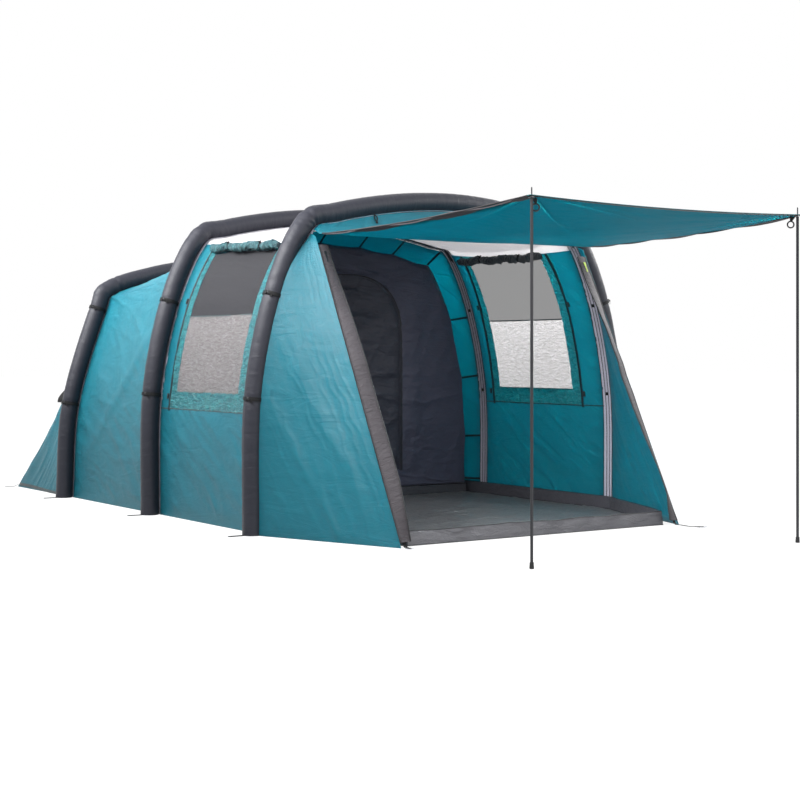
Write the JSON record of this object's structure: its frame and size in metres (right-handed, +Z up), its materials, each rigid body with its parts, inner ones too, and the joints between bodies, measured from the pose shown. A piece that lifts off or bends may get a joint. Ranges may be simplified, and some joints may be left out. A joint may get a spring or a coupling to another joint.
{
  "type": "inflatable tunnel tent",
  "caption": "Tunnel tent on air beams with a sewn-in groundsheet, dark inner bedroom, side windows and a door panel raised on poles as an awning.",
  "frame": {"origin": "on the ground at the middle of the front air beam's plane", "axes": "+X to the right seen from the door, +Y from the door to the tail, +Z up"},
  "size_m": [3.1194, 6.081, 2.0863],
  "materials": {
    "teal polyester": "coated woven polyester",
    "pale polyester": "coated woven polyester, translucent",
    "sleeve polyester": "heavy woven polyester, matt",
    "bladder film": "smooth TPU film",
    "zip tape": "woven zip tape",
    "binding": "woven binding",
    "window mesh": "insect mesh",
    "window film": "hazy clear film",
    "floor fabric": "coated polyethylene weave",
    "inner fabric": "breathable dark polyester",
    "webbing": "woven webbing",
    "black plastic": "moulded, satin",
    "rubber": "matt",
    "painted steel": "powder coat",
    "bright steel": "zinc plated",
    "lime cord": "moulded slider with a cord pull"
  },
  "bodies": {
    "tent": {"bedroom_canopy": "inner fabric", "bedroom_floor": "floor fabric", "bedroom_front": "inner fabric", "bedroom_rear": "inner fabric", "front_air_bladder": "bladder film", "front_beam_sleeve": "sleeve polyester", "front_left_wall": "teal polyester", "front_right_wall": "teal polyester", "front_roof": "pale polyester", "front_valve_body": "black plastic", "front_zip_tape": "zip tape", "groundsheet": "floor fabric", "header_panel": "teal polyester", "left_corner_strap": "webbing", "left_window_film": "window film", "left_window_mesh": "window mesh", "left_window_roll": "teal polyester", "left_wing": "teal polyester", "left_wing_binding": "binding", "middle_air_bladder": "bladder film", "middle_beam_sleeve": "sleeve polyester", "middle_valve_body": "black plastic", "middle_zip_tape": "zip tape", "rear_air_bladder": "bladder film", "rear_beam_sleeve": "sleeve polyester", "rear_left_wall": "teal polyester", "rear_right_wall": "teal polyester", "rear_roof": "teal polyester", "rear_valve_body": "black plastic", "rear_zip_tape": "zip tape", "right_corner_strap": "webbing", "right_window_film": "window film", "right_window_mesh": "window mesh", "right_window_roll": "teal polyester", "right_wing": "teal polyester", "right_wing_binding": "binding", "tail_left_strap": "webbing", "tail_panel": "teal polyester", "tail_right_strap": "webbing"},
    "awning": {"awning_panel": "teal polyester", "left_eyelet": "bright steel", "right_eyelet": "bright steel"},
    "left_pole": {"left_pole_foot": "rubber", "left_pole_lower": "painted steel", "left_pole_middle": "painted steel", "left_pole_upper": "painted steel"},
    "right_pole": {"right_pole_foot": "rubber", "right_pole_lower": "painted steel", "right_pole_middle": "painted steel", "right_pole_upper": "painted steel"},
    "inner_door": {"bedroom_door": "inner fabric"},
    "left_slider": {"left_zip_slider": "lime cord"},
    "right_slider": {"right_zip_slider": "lime cord"},
    "vent_hood": {"rear_vent_hood": "inner fabric"},
    "front_cap": {"front_valve_cap": "black plastic"},
    "middle_cap": {"middle_valve_cap": "black plastic"},
    "rear_cap": {"rear_valve_cap": "black plastic"},
    "left_ring": {"left_corner_ring": "bright steel"},
    "right_ring": {"right_corner_ring": "bright steel"}
  },
  "joints": [
    {"name": "awning_fold", "type": "hinge", "parent": "tent", "child": "awning", "pos_m": [0, -0.13111, 1.76104], "axis": [1, 0, 0], "range_deg": [0, 64.8]},
    {"name": "left_pole_lean", "type": "hinge", "parent": "tent", "child": "left_pole", "pos_m": [-0.95, -2.02, 0.0125], "axis": [1, 0, 0], "range_deg": [0, 90]},
    {"name": "right_pole_lean", "type": "hinge", "parent": "tent", "child": "right_pole", "pos_m": [0.95, -2.02, 0.0125], "axis": [1, 0, 0], "range_deg": [0, 90]},
    {"name": "inner_door_swing", "type": "hinge", "parent": "tent", "child": "inner_door", "pos_m": [0.6844, 1.56, 0.2006], "axis": [0, 0, 1], "range_deg": [0, 100]},
    {"name": "left_zip_slide", "type": "slide", "parent": "tent", "child": "left_slider", "axis": [0, -0.4584, -0.8888], "range_m": [0, 1.69]},
    {"name": "right_zip_slide", "type": "slide", "parent": "tent", "child": "right_slider", "axis": [0, -0.4584, -0.8888], "range_m": [0, 1.69]},
    {"name": "vent_hood_tilt", "type": "hinge", "parent": "tent", "child": "vent_hood", "pos_m": [-1.18067, 3.26, 0.82], "axis": [0, -1, 0], "range_deg": [0, 10]},
    {"name": "front_cap_turn", "type": "hinge", "parent": "tent", "child": "front_cap", "pos_m": [1.47541, 0, 0.28], "axis": [1, 0, 0], "range_deg": [0, 270]},
    {"name": "middle_cap_turn", "type": "hinge", "parent": "tent", "child": "middle_cap", "pos_m": [1.47541, 1.4, 0.28], "axis": [1, 0, 0], "range_deg": [0, 270]},
    {"name": "rear_cap_turn", "type": "hinge", "parent": "tent", "child": "rear_cap", "pos_m": [1.46333, 2.88, 0.28], "axis": [1, 0, 0], "range_deg": [0, 270]},
    {"name": "left_ring_swing", "type": "hinge", "parent": "tent", "child": "left_ring", "pos_m": [-1.01941, -1.0564, 0.0046], "axis": [-0.9659, 0.2588, 0], "range_deg": [0, 90]},
    {"name": "right_ring_swing", "type": "hinge", "parent": "tent", "child": "right_ring", "pos_m": [1.05176, -1.17714, 0.0046], "axis": [-0.9659, -0.2588, 0], "range_deg": [0, 90]}
  ],
  "couplings": [
    {"joint": "left_pole_lean", "follows": "awning_fold", "ratio": 1.388},
    {"joint": "right_pole_lean", "follows": "awning_fold", "ratio": 1.388}
  ]
}
